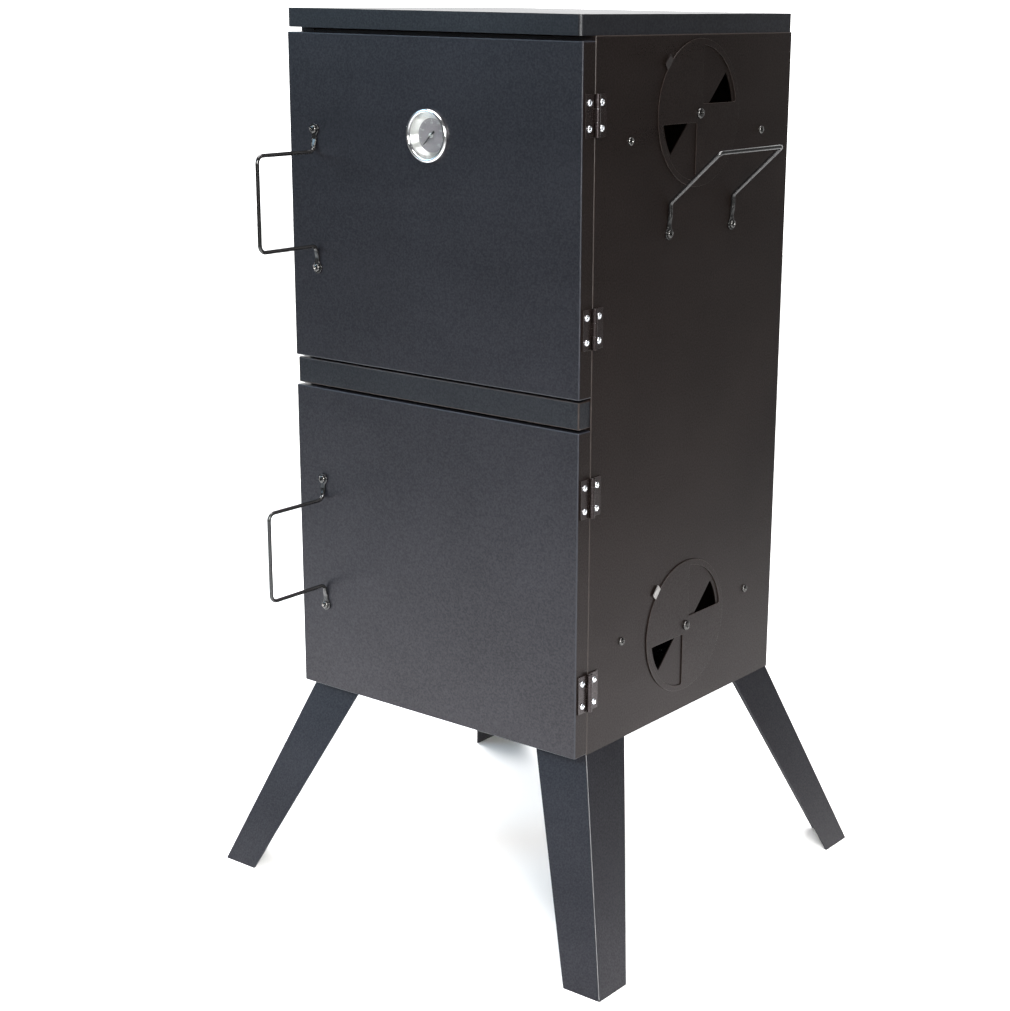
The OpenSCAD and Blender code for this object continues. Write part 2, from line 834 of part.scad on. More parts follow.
module thermometer_dial() {
  color("#8c9094") on_dial() translate([0, 0, dial_depth]) difference() {
    cylinder(r = cup_r - cup_wall - 0.1, h = 0.6);
    translate([0, 0, -1]) cylinder(r = 1.6, h = 3);
  }
}

module thermometer_pointer() {
  needle_t = 0.5;
  needle_rest = 135;
  color("#1a1a1c") on_dial() translate([0, 0, dial_depth - 1.6]) difference() {
    union() {
      cylinder(r = 2.6, h = 1.2);
      rotate([0, 0, needle_rest]) translate([0, 0, 0.4]) linear_extrude(height = needle_t)
        polygon([[-6, -1.1], [-6, 1.1], [14.5, 0.35], [14.5, -0.35]]);
    }
    translate([0, 0, -1]) cylinder(r = spindle_r + running_gap, h = 4);
  }
}

module thermometer_glass() {
  color("#dfe8ea", 0.35) on_dial() translate([0, 0, -2.4]) cylinder(r = cup_r - cup_wall - 0.1, h = 1.6);
}

module thermometer_stem() {
  color(zinc) on_dial() {
    translate([0, 0, dial_depth - 2]) cylinder(r = spindle_r, h = 6);
    translate([0, 0, cup_depth]) cylinder(r = 6, h = 4);
    translate([0, 0, cup_depth + 3]) cylinder(r = 3, h = stem_l + door_t - cup_depth);
    translate([0, 0, cup_depth + 3 + stem_l + door_t - cup_depth]) sphere(r = 3);
  }
}

// Clamp behind the door: a strap with two legs, and the nut that draws it tight
module thermometer_clamp() {
  strap_z = cup_depth + 4;
  strap_t = 1.5;
  leg_x = 29;
  color(zinc) on_dial() difference() {
    union() {
      translate([0, 0, strap_z]) cylinder(r = 9, h = 5, $fn = 6);
      translate([-leg_x, -5, strap_z]) cube([2 * leg_x, 10, strap_t]);
      for (x = [-leg_x, leg_x - strap_t])
        translate([x, -5, sheet_t]) cube([strap_t, 10, strap_z + strap_t - sheet_t]);
    }
    cylinder(r = 3.02, h = 30);
  }
}

side_panel_right();
side_panel_left();
rear_panel();
floor_panel();
front_header();
mid_rail();
top_cap();
cap_liner();
leg_front_right();
leg_front_left();
leg_rear_right();
leg_rear_left();
leg_bolts();
carry_handle_right();
carry_handle_left();
carry_handle_bolts();
rack_ladder_right();
rack_ladder_left();
rack_bolts();
grate_upper();
grate_middle();
grate_lower();
water_pan();
chip_tray();
drip_tray();
heating_element();
element_bracket();
terminal_box();
cord_gland();
damper_pivot_bolts();
upper_damper();
lower_damper();
cabinet_hinge_leaves();
cabinet_hinge_screws();
hinge_pins();
door_magnets();
upper_door_panel();
upper_door_handle();
upper_door_handle_bolts();
upper_door_hinge_leaves();
upper_door_hinge_screws();
upper_door_strike();
thermometer_bezel();
thermometer_dial();
thermometer_glass();
thermometer_stem();
thermometer_clamp();
thermometer_pointer();
lower_door_panel();
lower_door_handle();
lower_door_handle_bolts();
lower_door_hinge_leaves();
lower_door_hinge_screws();
lower_door_strike();
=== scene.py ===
import json
import math

import bmesh
import bpy
from mathutils import Matrix, Vector


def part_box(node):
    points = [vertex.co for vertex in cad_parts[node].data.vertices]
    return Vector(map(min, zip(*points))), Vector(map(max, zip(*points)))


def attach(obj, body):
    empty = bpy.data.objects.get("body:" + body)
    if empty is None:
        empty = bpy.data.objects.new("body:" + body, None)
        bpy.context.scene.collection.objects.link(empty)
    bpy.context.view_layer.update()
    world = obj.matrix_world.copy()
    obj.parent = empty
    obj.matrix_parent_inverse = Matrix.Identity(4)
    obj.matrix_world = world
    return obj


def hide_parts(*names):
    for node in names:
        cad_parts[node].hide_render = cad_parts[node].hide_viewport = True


MM = 0.001
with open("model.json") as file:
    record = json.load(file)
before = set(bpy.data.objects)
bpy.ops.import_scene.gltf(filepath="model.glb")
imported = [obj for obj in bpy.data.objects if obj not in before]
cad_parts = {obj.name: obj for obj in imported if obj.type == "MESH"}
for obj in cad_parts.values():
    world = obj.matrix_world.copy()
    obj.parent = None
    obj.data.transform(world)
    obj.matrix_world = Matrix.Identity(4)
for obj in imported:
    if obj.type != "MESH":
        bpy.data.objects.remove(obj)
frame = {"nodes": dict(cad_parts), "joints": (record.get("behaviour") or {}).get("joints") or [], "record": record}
NODES = frame["nodes"]
BODY_OF = {n: b for b, ns in frame["record"]["behaviour"]["bodies"].items() for n in ns}
SLOT_OF = {s["node"]: s["material_slot"] for s in frame["record"]["subparts"]}
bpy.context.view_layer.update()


# ---- materials ---------------------------------------------------------------

class Graph:
    """A material's node tree, with the few nodes that every finish here uses."""

    def __init__(self, name):
        self.mat = bpy.data.materials.new(name)
        self.mat.use_nodes = True
        self.tree = self.mat.node_tree
        self.bsdf = self.tree.nodes["Principled BSDF"]
        self.coords = self.tree.nodes.new("ShaderNodeTexCoord")

    def set(self, **values):
        for key, value in values.items():
            self.bsdf.inputs[key.replace("_", " ")].default_value = value

    def link(self, a, b):
        self.tree.links.new(a, b)

    def mapped(self, scale):
        node = self.tree.nodes.new("ShaderNodeMapping")
        node.inputs["Scale"].default_value = scale
        self.link(self.coords.outputs["Object"], node.inputs["Vector"])
        return node.outputs["Vector"]

    def noise(self, scale, detail=3.0, rough=0.55, vector=None):
        node = self.tree.nodes.new("ShaderNodeTexNoise")
        node.inputs["Scale"].default_value = scale
        node.inputs["Detail"].default_value = detail
        node.inputs["Roughness"].default_value = rough
        self.link(vector or self.coords.outputs["Object"], node.inputs["Vector"])
        return node.outputs["Fac"]

    def cells(self, scale):
        node = self.tree.nodes.new("ShaderNodeTexVoronoi")
        node.inputs["Scale"].default_value = scale
        self.link(self.coords.outputs["Object"], node.inputs["Vector"])
        return node.outputs["Distance"]

    def remap(self, value, lo, hi, to_lo, to_hi):
        node = self.tree.nodes.new("ShaderNodeMapRange")
        for key, v in (("From Min", lo), ("From Max", hi), ("To Min", to_lo), ("To Max", to_hi)):
            node.inputs[key].default_value = v
        self.link(value, node.inputs["Value"])
        return node.outputs["Result"]

    def spread(self, value, lo, hi):
        """Turns the range that a noise mostly covers into lo to hi."""
        return self.remap(value, 0.3, 0.7, lo, hi)

    def ramp(self, value, stops):
        node = self.tree.nodes.new("ShaderNodeValToRGB")
        while len(node.color_ramp.elements) < len(stops):
            node.color_ramp.elements.new(0.5)
        for element, (pos, color) in zip(node.color_ramp.elements, stops):
            element.position = pos
            element.color = (*color, 1.0)
        self.link(value, node.inputs["Fac"])
        return node.outputs["Color"]

    def mix(self, fac, a, b):
        node = self.tree.nodes.new("ShaderNodeMix")
        node.data_type = "RGBA"
        self.link(fac, node.inputs[0])
        for socket, v in ((node.inputs[6], a), (node.inputs[7], b)):
            if isinstance(v, tuple):
                socket.default_value = (*v, 1.0)
            else:
                self.link(v, socket)
        return node.outputs[2]

    def combine(self, operation, a, b):
        node = self.tree.nodes.new("ShaderNodeMath")
        node.operation = operation
        self.link(a, node.inputs[0])
        self.link(b, node.inputs[1])
        return node.outputs[0]

    def bump(self, height, strength, distance, normal=None):
        node = self.tree.nodes.new("ShaderNodeBump")
        node.inputs["Strength"].default_value = strength
        node.inputs["Distance"].default_value = distance
        self.link(height, node.inputs["Height"])
        if normal:
            self.link(normal, node.inputs["Normal"])
        return node.outputs["Normal"]

    def finish(self, color=None, rough=None, normal=None):
        for key, out in (("Base Color", color), ("Roughness", rough), ("Normal", normal)):
            if out:
                self.link(out, self.bsdf.inputs[key])
        return self.mat


def shade(color, k):
    return tuple(min(1.0, c * k) for c in color)


def powder_coat(name, color, rough, peel=0.12, specks=0.35, spec=0.32, tint=(1.0, 1.0, 1.0)):
    """Satin powder coat: fine orange peel, soft cloudiness, a little dust and handling marks."""
    g = Graph(name)
    # The tint colours the coat's reflections; the tints passed in are painted reflection colour.
    g.set(Specular_Tint=(*tint, 1.0))
    cloud = g.noise(5.0, 4.0)
    base = g.ramp(cloud, [(0.3, shade(color, 0.82)), (0.7, shade(color, 1.2))])
    dust = g.remap(g.noise(420.0, 2.0, 0.7), 0.62, 0.8, 0.0, specks)
    base = g.mix(dust, base, shade(color, 4.5))
    smear = g.noise(3.0, 5.0, 0.65, g.mapped((1.0, 1.0, 5.0)))
    r = g.combine("ADD", g.spread(smear, rough - 0.045, rough + 0.045),
                  g.spread(g.noise(700.0, 2.0), -0.03, 0.03))
    grain = 0.22 * spec
    drift = 0.06 * spec
    gloss = g.combine("ADD", g.spread(g.noise(520.0, 1.0, 0.4), spec - grain, spec + grain),
                      g.spread(cloud, -drift, drift))
    g.link(gloss, g.bsdf.inputs["Specular IOR Level"])
    normal = g.bump(g.noise(620.0, 2.0, 0.5), peel, 0.2 * MM)
    normal = g.bump(g.noise(9.0, 2.0), 0.02, 2 * MM, normal)
    return g.finish(base, r, normal)


def worn_edge(name, color, rough, spec, wear_and_highlight):
    """The same coat where it thins over a fold: paler and smoother, with scuffs; the paleness is partly wear and
    partly a painted highlight along the fold.
    """
    g = Graph(name)
    g.set(Specular_IOR_Level=spec)
    scuff = g.remap(g.noise(160.0, 4.0, 0.7), 0.5, 0.7, 0.0, 0.8)
    base = g.mix(scuff, shade(color, 1.0 + 4.0 * wear_and_highlight), shade(color, 1.0 + 9.0 * wear_and_highlight))
    r = g.spread(g.noise(90.0, 3.0), rough - 0.1, rough + 0.04)
    return g.finish(base, r, g.bump(g.noise(900.0, 2.0), 0.06, 0.2 * MM))


def metal(name, color, rough, grain=(1.0, 1.0, 1.0), grain_scale=900.0, bump=0.05, tint=None):
    """Bare or plated metal: directional grain, cloudy tarnish and fine scratches."""
    g = Graph(name)
    g.set(Metallic=1.0)
    tarnish = g.noise(40.0, 4.0, 0.6)
    base = g.ramp(tarnish, [(0.32, tint or shade(color, 0.78)), (0.68, color)])
    lines = g.noise(grain_scale, 2.0, 0.6, g.mapped(grain))
    r = g.combine("ADD", g.spread(lines, rough * 0.75, rough * 1.25), g.spread(tarnish, 0.06, -0.02))
    return g.finish(base, r, g.bump(lines, bump, 0.2 * MM))


def enamel(name, color):
    """Glossy vitreous enamel with pale speckles sunk in it."""
    g = Graph(name)
    g.set(Coat_Weight=0.4, Coat_Roughness=0.08)
    speck = g.remap(g.cells(260.0), 0.16, 0.24, 1.0, 0.0)
    patch = g.remap(g.noise(60.0, 2.0), 0.5, 0.6, 0.0, 1.0)
    base = g.mix(g.combine("MULTIPLY", speck, patch), color, (0.42, 0.43, 0.45))
    r = g.spread(g.noise(30.0, 3.0), 0.16, 0.3)
    return g.finish(base, r, g.bump(g.noise(45.0, 2.0), 0.06, 1 * MM))


def plastic(name, color, rough):
    """Moulded plastic with a spark-eroded texture."""
    g = Graph(name)
    base = g.ramp(g.noise(25.0, 3.0), [(0.3, shade(color, 0.8)), (0.7, shade(color, 1.3))])
    r = g.spread(g.noise(300.0, 2.0), rough - 0.06, rough + 0.06)
    return g.finish(base, r, g.bump(g.cells(1400.0), 0.12, 0.1 * MM))


def glass(name):
    """Clear glass, faintly smeared."""
    g = Graph(name)
    g.set(Transmission_Weight=1.0, IOR=1.46, Base_Color=(0.97, 0.985, 0.98, 1.0))
    r = g.remap(g.noise(45.0, 4.0, 0.7), 0.45, 0.75, 0.01, 0.05)
    return g.finish(None, r, g.bump(g.noise(30.0, 1.0), 0.01, 1 * MM))


# One black paint, tinted cooler on the front and warmer on the sides: painted light, for the cool light on the
# front and the warm light on the sides.
BODY_BLACK_PAINTED_WARM_LIGHT = (0.0062, 0.0044, 0.0038)
DOOR_BLACK_PAINTED_COOL_LIGHT = (0.0046, 0.0050, 0.0068)
BLACK = (0.006, 0.006, 0.006)
# Specular tints of that paint: painted reflection colour, warmer for the sides than for the front and cap.
BODY_PAINTED_REFLECTION_TINT = (1.0, 0.88, 0.92)
DOOR_PAINTED_REFLECTION_TINT = (1.0, 0.94, 1.0)
CAP_PAINTED_REFLECTION_TINT = (0.96, 0.98, 1.0)
# The cabinet, cap, leg, door, damper and hinge coats are one black paint, split into lit copies by the painted
# light colours above.
MAT = {
    "cabinet_paint": powder_coat("cabinet_paint", BODY_BLACK_PAINTED_WARM_LIGHT, 0.33, spec=0.20, tint=BODY_PAINTED_REFLECTION_TINT),
    "cap_paint": powder_coat("cap_paint", DOOR_BLACK_PAINTED_COOL_LIGHT, 0.38, spec=0.42, tint=CAP_PAINTED_REFLECTION_TINT),
    "leg_paint": powder_coat("leg_paint", DOOR_BLACK_PAINTED_COOL_LIGHT, 0.40, spec=0.46, tint=DOOR_PAINTED_REFLECTION_TINT),
    "door_paint": powder_coat("door_paint", DOOR_BLACK_PAINTED_COOL_LIGHT, 0.40, spec=0.42, tint=DOOR_PAINTED_REFLECTION_TINT),
    "damper_paint": powder_coat("damper_paint", BODY_BLACK_PAINTED_WARM_LIGHT, 0.33, spec=0.22, tint=BODY_PAINTED_REFLECTION_TINT),
    "handle_paint": powder_coat("handle_paint", BLACK, 0.17, peel=0.04, specks=0.15, spec=0.75),
    "hinge_paint": powder_coat("hinge_paint", BODY_BLACK_PAINTED_WARM_LIGHT, 0.26, peel=0.05, spec=0.6, tint=BODY_PAINTED_REFLECTION_TINT),
    "dark_bolt": metal("dark_bolt", (0.11, 0.108, 0.105), 0.2, grain_scale=500.0),
    "zinc_steel": metal("zinc_steel", (0.78, 0.80, 0.83), 0.24),
    # Pale steel for the lower damper's tab only: a painted highlight.
    "tab_steel_painted_highlight": metal("tab_steel_painted_highlight", (0.42, 0.41, 0.40), 0.36, (1.0, 6.0, 1.0), 400.0),
    "cup_steel": metal("cup_steel", (0.93, 0.93, 0.91), 0.40, (1.0, 1.0, 1.0), 300.0, bump=0.03),
    "bracket_steel": metal("bracket_steel", (0.52, 0.54, 0.56), 0.38, (1.0, 8.0, 1.0), 300.0),
    "grate_wire": metal("grate_wire", (0.72, 0.72, 0.73), 0.2),
    "pan_enamel": enamel("pan_enamel", (0.012, 0.012, 0.014)),
    "element_sheath": metal("element_sheath", (0.23, 0.20, 0.18), 0.42, tint=(0.10, 0.11, 0.16)),
    "gland_plastic": plastic("gland_plastic", (0.02, 0.02, 0.021), 0.45),
    "magnet_plastic": plastic("magnet_plastic", (0.06, 0.04, 0.03), 0.5),
    "bezel_steel": metal("bezel_steel", (0.86, 0.87, 0.88), 0.12, bump=0.02),
    "dial_face": powder_coat("dial_face", (0.33, 0.31, 0.33), 0.35, peel=0.03, specks=0.05),
    "dial_glass": glass("dial_glass"),
    "stem_steel": metal("stem_steel", (0.74, 0.75, 0.76), 0.26, (8.0, 1.0, 8.0), 300.0),
    "pointer_paint": powder_coat("pointer_paint", (0.012, 0.012, 0.012), 0.4, peel=0.03),
    "dial_print": powder_coat("dial_print", (0.75, 0.76, 0.76), 0.5, peel=0.03, specks=0.0),
}
# Fold edges paler than the coat: partly wear, partly a painted highlight.
WORN_HIGHLIT_EDGE = {
    "cabinet_paint": worn_edge("cabinet_paint_worn_highlit_edge", BODY_BLACK_PAINTED_WARM_LIGHT, 0.38, 0.42, 0.4),
    "leg_paint": worn_edge("leg_paint_worn_highlit_edge", DOOR_BLACK_PAINTED_COOL_LIGHT, 0.40, 0.40, 0.15),
    "door_paint": worn_edge("door_paint_worn_highlit_edge", DOOR_BLACK_PAINTED_COOL_LIGHT, 0.40, 0.42, 0.4),
    "damper_paint": worn_edge("damper_paint_worn_highlit_edge", BODY_BLACK_PAINTED_WARM_LIGHT, 0.36, 0.5, 0.6),
    "hinge_paint": worn_edge("hinge_paint_worn_highlit_edge", BODY_BLACK_PAINTED_WARM_LIGHT, 0.32, 0.5, 0.5),
}


# ---- mesh helpers ------------------------------------------------------------

SHARP = 38          # degrees from which an edge is a corner and gets rounded
FLAT = 0.4          # degrees up to which neighbouring faces count as one
WELD = 0.002 * MM   # distance up to which the CAD's corners are one
FOLD_STEPS = 4      # flat strips round a sheet's fold
ARC_STEP = math.radians(9)


def publish(bm, node, mats=None):
    """Turns a bmesh into the piece that stands for a CAD node and rides where it does."""
    slot = SLOT_OF[node]
    bmesh.ops.recalc_face_normals(bm, faces=bm.faces)
    mesh = bpy.data.meshes.new(node + "_piece")
    bm.to_mesh(mesh)
    bm.free()
    for m in mats or [MAT[slot], WORN_HIGHLIT_EDGE.get(slot, MAT[slot])]:
        mesh.materials.append(m)
    mesh.polygons.foreach_set("use_smooth", [True] * len(mesh.polygons))
    mesh.set_sharp_from_angle(angle=math.radians(SHARP))
    obj = bpy.data.objects.new(mesh.name, mesh)
    bpy.context.scene.collection.objects.link(obj)
    flat = obj.modifiers.new("flat_faces", "WEIGHTED_NORMAL")
    flat.keep_sharp = True
    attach(obj, BODY_OF[node])
    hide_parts(node)


def cad_copy(node):
    """The CAD node's own surface with its flat faces whole, ready for rounding."""
    bm = bmesh.new()
    bm.from_mesh(NODES[node].data)
    bmesh.ops.remove_doubles(bm, verts=bm.verts, dist=WELD)
    bmesh.ops.dissolve_limit(bm, angle_limit=math.radians(FLAT), use_dissolve_boundaries=False,
                             verts=bm.verts, edges=bm.edges, delimit=set())
    return bm


def round_edges(bm, edges, radius, segments):
    """Rounds edges; the new faces take material 1."""
    if edges:
        bmesh.ops.bevel(bm, geom=edges, offset=radius, segments=segments, profile=0.5,
                        affect="EDGES", clamp_overlap=True, material=1, offset_type="OFFSET")


def sharp_edges(bm, degrees=SHARP):
    return [e for e in bm.edges if e.is_manifold and e.calc_face_angle(0) > math.radians(degrees)]


def outer_folds(bm, planes):
    """Sharp edges that lie on two of the given outer planes, each (axis, value)."""
    def planes_on(e):
        return sum(all(abs(v.co[a] - p) < 0.01 * MM for v in e.verts) for a, p in planes)
    return [e for e in sharp_edges(bm) if planes_on(e) >= 2]


def planes_of(node, sides):
    """The planes of a node's box that sides such as "-x" name, each (axis, value)."""
    lo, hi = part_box(node)
    axes = [("xyz".index(s[1]), s[0]) for s in sides]
    return [(a, (lo if sign == "-" else hi)[a]) for a, sign in axes]


def rounded(node, radius, segments=2, folds=(), fold_radius=0.0, sideways_shade_index=None, mats=None):
    """A CAD node with its folds and cut edges rounded as sheet metal is; faces that look sideways can take another
    material index, a darker coat given them as painted shade."""
    bm = cad_copy(node)
    for f in bm.faces:
        if sideways_shade_index and abs(f.normal.x) > 0.9:
            f.material_index = sideways_shade_index
    if fold_radius:
        round_edges(bm, outer_folds(bm, folds), fold_radius, FOLD_STEPS)
    round_edges(bm, sharp_edges(bm), radius, segments)
    publish(bm, node, mats)


def circle(r, n):
    """n points round a circle, anticlockwise."""
    return [(r * math.cos(t), r * math.sin(t)) for t in (2 * math.pi * i / n for i in range(n))]


def arc(cx, cy, r, a0, a1, n):
    return [(cx + r * math.cos(a0 + (a1 - a0) * i / n), cy + r * math.sin(a0 + (a1 - a0) * i / n))
            for i in range(n + 1)]


def ring_at(bm, place, points, z):
    """Vertices at (x, y) points of a placement's plane z."""
    return [bm.verts.new(place @ Vector((x, y, z))) for x, y in points]


def ring_faces(bm, rings, material=0, capped=False):
    """Skins between neighbouring rings of vertices, and over the first and last if capped."""
    faces = [bm.faces.new((a[i], a[(i + 1) % len(a)], b[(i + 1) % len(a)], b[i]))
             for a, b in zip(rings, rings[1:]) for i in range(len(a))]
    if capped:
        faces += [bm.faces.new(rings[0]), bm.faces.new(rings[-1])]
    for f in faces:
        f.material_index = material


def cone_faces(bm, tip, ring, material=0):
    for i, v in enumerate(ring):
        bm.faces.new((tip, v, ring[(i + 1) % len(ring)])).material_index = material


def lathe(bm, profile, place, segments=96, material=0):
    """Turns (radius, height) points about local Z; ends on the axis are closed."""
    rings = [ring_at(bm, place, circle(r, segments) if r else [(0, 0)], z) for r, z in profile]
    for a, b in zip(rings, rings[1:]):
        if len(a) == 1:
            cone_faces(bm, a[0], b, material)
        elif len(b) == 1:
            cone_faces(bm, b[0], a, material)
        else:
            ring_faces(bm, [a, b], material)


def looking(origin, z_axis, x_axis=(0, 0, 1)):
    """Placement whose local Z points along z_axis."""
    z = Vector(z_axis).normalized()
    x = Vector(x_axis)
    x = (x - z * x.dot(z)).normalized()
    y = z.cross(x)
    m = Matrix((x, y, z)).transposed().to_4x4()
    m.translation = Vector(origin)
    return m


def spun(place, angle):
    return place @ Matrix.Rotation(angle, 4, "Z")


def fillet(points, radii):
    """A polyline with its corners turned into arcs."""
    out = [points[0]]
    for p, q, s, r in zip(points, points[1:], points[2:], radii):
        a, b = (p - q).normalized(), (s - q).normalized()
        half = a.angle(b) / 2
        centre = q + (a + b).normalized() * (r / math.sin(half))
        start = q + a * (r / math.tan(half)) - centre
        end = q + b * (r / math.tan(half)) - centre
        turn = start.angle(end)
        n = max(4, math.ceil(turn / ARC_STEP))
        for t in (i / n for i in range(n + 1)):
            spoke = start * math.sin((1 - t) * turn) + end * math.sin(t * turn)
            out.append(centre + spoke / math.sin(turn))
    out.append(points[-1])
    return out


def smooth_step(x, lo, hi):
    t = min(1.0, max(0.0, (x - lo) / (hi - lo)))
    return t * t * (3 - 2 * t)


def resample(points, spacing):
    out = [points[0]]
    for a, b in zip(points, points[1:]):
        n = max(1, math.ceil((b - a).length / spacing))
        out += [a.lerp(b, i / n) for i in range(1, n + 1)]
    return out


# ---- wire and fasteners --------------------------------------------------------

WIRE_R = 2.25 * MM
TAB_HALF = 1.1 * MM        # half the thickness of a wire's flattened end
EYE_R = 6.4 * MM
WIRE_SPACING = 1.2 * MM
WIRE_SIDES = 28
BOLT_R = 2.5 * MM
BOLT_HEAD = (4.4 * MM, 2.8 * MM)
NUT_H = 3.5 * MM


def bent_wire(bm, path, width_axis):
    """Round wire whose two ends are flattened into round eyes."""
    lengths = [0.0]
    for a, b in zip(path, path[1:]):
        lengths.append(lengths[-1] + (b - a).length)
    last = len(path) - 1
    tangents = [(path[min(i + 1, last)] - path[max(i - 1, 0)]).normalized() for i in range(len(path))]
    side = Vector(width_axis)
    neck_half = 2.7 * TAB_HALF
    rings = []
    for p, t, s in zip(path, tangents, lengths):
        side = (side - t * side.dot(t)).normalized()
        up = t.cross(side)
        d = min(s, lengths[-1] - s)
        roundness = smooth_step(d, 2.6 * EYE_R, 4.4 * EYE_R)
        neck = neck_half + (WIRE_R - neck_half) * roundness
        high = TAB_HALF + (WIRE_R - TAB_HALF) * roundness
        off = abs(EYE_R - d)
        eye = math.sqrt(max(EYE_R ** 2 - off ** 2, 0.0)) if off < EYE_R else 0.0
        wide = max(eye, neck if d > EYE_R else 0.0, 0.2 * MM)
        power = 2 / (4.5 - 2.5 * roundness)     # 1 is an ellipse, less is a rounder-cornered strip
        ring = []
        for c, q in circle(1, WIRE_SIDES):
            ring.append(bm.verts.new(p + side * (wide * math.copysign(abs(c) ** power, c))
                                     + up * (high * math.copysign(abs(q) ** power, q))))
        rings.append(ring)
    ring_faces(bm, rings, capped=True)


def cross_head(bm, place, r, h, recess):
    """Pan head of radius r and height h with a cross recess; local Z points out of the head."""
    arm, width, depth = recess
    rings, segments = 18, 72
    blend = 0.2 * MM
    grid = []
    for k in range(rings):
        rho = r * (1 - k / rings)
        rim = math.sqrt(max(0.0, 1 - (rho / r) ** 3.2))
        grid.append([])
        for x, y in circle(rho, segments):
            inside = max(min(smooth_step(width / 2 + 0.6 * blend - abs(u), 0, blend),
                             smooth_step(arm - abs(v), 0, arm * 0.5)) for u, v in ((x, y), (y, x)))
            z = h * (0.28 + 0.72 * rim) - depth * inside
            grid[-1].append(bm.verts.new(place @ Vector((x, y, z))))
    base = ring_at(bm, place, circle(r, segments), 0)
    ring_faces(bm, [base] + grid)
    cone_faces(bm, ring_at(bm, place, [(0, 0)], h - depth)[0], grid[-1])
    bm.faces.new(list(reversed(base)))


def shank(bm, place, r, length, pitch):
    """Threaded shank running from z = 0 down to z = -length."""
    turns = max(2, int(length / pitch))
    profile = [(0, 0.2 * MM), (r * 0.98, 0.2 * MM)]
    for i in range(turns):
        z = -length * i / turns
        profile += [(r * 0.985, z), (r * 0.86, z - pitch * 0.5)]
    profile += [(r * 0.8, -length), (0, -length)]
    lathe(bm, profile, place, 24)


def hex_nut(bm, place, r, h, hole):
    """Chamfered hexagon nut between z = 0 and z = h."""
    n = 72
    rows = []
    for z, k in ((0, 0.9), (h * 0.12, 0.99), (h * 0.88, 0.99), (h, 0.9)):
        row = []
        for x, y in circle(1, n):
            flat = r * math.cos(math.pi / 6) / math.cos(math.atan2(y, x) % (math.pi / 3) - math.pi / 6)
            rho = min(flat, r * k)
            row.append((rho * x, rho * y))
        rows.append(ring_at(bm, place, row, z))
    inner = [ring_at(bm, place, circle(hole, n), z) for z in (h, 0)]
    ring_faces(bm, rows + inner + [rows[0]])


def through_bolt(bm, place, grip, r, head, nut_h):
    """Machine screw and nut clamping a grip, as the CAD has it; local Z points out of the head."""
    head_r, head_h = head
    cross_head(bm, place, head_r, head_h, (head_r * 0.56, 1.1 * MM, head_h * 0.55))
    shank(bm, place, r, grip + nut_h + 2 * MM, 0.8 * MM)
    hex_nut(bm, place @ Matrix.Translation((0, 0, -grip - nut_h)), r * 1.9, nut_h, r * 0.97)


def solids_of(node):
    """Boxes of a node's separate solids, as (low corner, high corner)."""
    bm = cad_copy(node)
    boxes, seen = [], set()
    for v in bm.verts:
        if v in seen:
            continue
        stack, group = [v], []
        seen.add(v)
        while stack:
            w = stack.pop()
            group.append(w.co)
            for e in w.link_edges:
                o = e.other_vert(w)
                if o not in seen:
                    seen.add(o)
                    stack.append(o)
        boxes.append((Vector(min(c[i] for c in group) for i in range(3)),
                      Vector(max(c[i] for c in group) for i in range(3))))
    bm.free()
    return boxes


# ---- sheet metal -----------------------------------------------------------------

side_lo, side_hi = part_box("side_panel_right")
HALF_W = side_hi.x
MIDDLE_Y = (side_lo.y + side_hi.y) / 2


def sheet_parts():
    # The doors' sideways flanges take the side's darker, warmer coat as painted shade, and the rail takes the
    # cap's coat.
    door_mats = [MAT["door_paint"], WORN_HIGHLIT_EDGE["door_paint"], MAT["cabinet_paint"]]
    cap_mats = [MAT["cap_paint"], WORN_HIGHLIT_EDGE["cabinet_paint"]]
    front_sheet = ("-x", "+x", "-y", "-z", "+z")
    for node in ("upper_door_panel", "lower_door_panel"):
        rounded(node, 0.25 * MM, 1, planes_of(node, front_sheet), 1.2 * MM, sideways_shade_index=2, mats=door_mats)
    for node, outside in (("side_panel_right", "+x"), ("side_panel_left", "-x")):
        rounded(node, 0.22 * MM, 1, planes_of(node, (outside, "-y", "+z")), 1.3 * MM)
    rounded("mid_rail", 0.25 * MM, 1, planes_of("mid_rail", front_sheet), 1.4 * MM, mats=cap_mats)
    cap_sheet = ("-x", "+x", "-y", "+y", "+z")
    rounded("top_cap", 0.25 * MM, 1, planes_of("top_cap", cap_sheet), 1.6 * MM, mats=cap_mats)
    for node, sides in (("rear_panel", ("-x", "+x", "+y")),
                        ("floor_panel", ("-x", "+x", "-y", "+y", "-z")),
                        ("front_header", ("-y", "+z")),
                        ("terminal_box", ("-x", "+x", "+y", "-z", "+z"))):
        rounded(node, 0.2 * MM, 1, planes_of(node, sides), 1.0 * MM)
    for node in ("cap_liner", "rack_ladder_right", "rack_ladder_left", "element_bracket",
                 "upper_door_strike", "lower_door_strike", "thermometer_clamp"):
        rounded(node, 0.18 * MM, 1)
    for node in ("water_pan", "chip_tray", "drip_tray"):
        rounded(node, 0.35 * MM)
    rounded("door_magnets", 0.6 * MM)
    rounded("cord_gland", 0.3 * MM)


def leg(node):
    bm = cad_copy(node)
    lo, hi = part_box(node)
    middle = (lo + hi) / 2
    flare = Vector((math.copysign(1, middle.x), math.copysign(1, middle.y - MIDDLE_Y), 0))
    long_edges = [e for e in sharp_edges(bm) if e.calc_length() > 150 * MM]
    ridge = max(long_edges, key=lambda e: (e.verts[0].co + e.verts[1].co).dot(flare))
    round_edges(bm, [ridge], 1.5 * MM, FOLD_STEPS)
    round_edges(bm, sharp_edges(bm), 0.3 * MM, 2)
    publish(bm, node)


